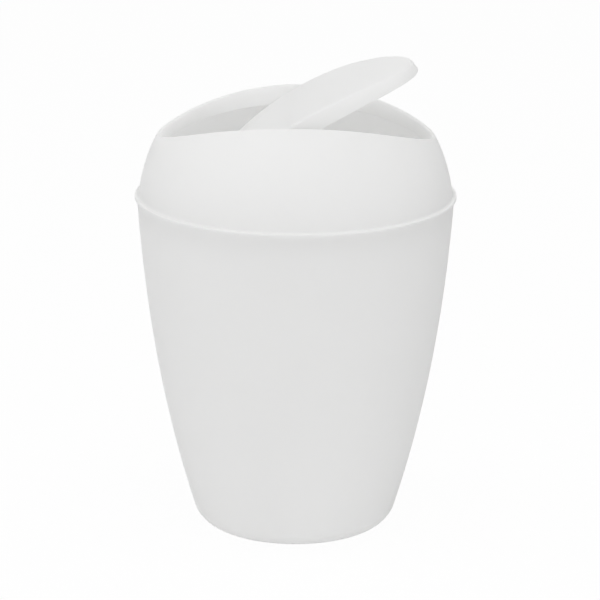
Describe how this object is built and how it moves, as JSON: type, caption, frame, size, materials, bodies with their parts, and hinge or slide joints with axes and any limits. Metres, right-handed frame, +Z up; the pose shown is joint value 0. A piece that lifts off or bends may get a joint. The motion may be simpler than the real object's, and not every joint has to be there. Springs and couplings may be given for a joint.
{
  "type": "countertop trash can with swing lid",
  "caption": "Tapered round countertop trash can with a lift-off domed lid and an arched oval flap that swings in the lid's mouth.",
  "frame": {"origin": "centre of the bin's base, on the surface it stands on", "axes": "+Z up, +X towards the end of the flap that stands up, -Y towards the viewer of the picture; the flap's pivot runs along Y"},
  "size_m": [0.14, 0.14, 0.2082],
  "materials": {
    "bin_body": "moulded polypropylene, fine matt texture",
    "lid_dome": "moulded polypropylene, fine matt texture",
    "swing_flap": "moulded polypropylene, fine matt texture"
  },
  "bodies": {
    "bin": {"bin_body": "bin_body"},
    "lid": {"lid_dome": "lid_dome"},
    "flap": {"swing_flap": "swing_flap"}
  },
  "joints": [
    {"name": "lid_lift", "type": "slide", "parent": "bin", "child": "lid", "axis": [0, 0, 1], "range_m": [0, 0.08]},
    {"name": "flap_swing", "type": "hinge", "parent": "lid", "child": "flap", "pos_m": [0, 0, 0.1838], "axis": [0, -1, 0], "continuous": true}
  ]
}
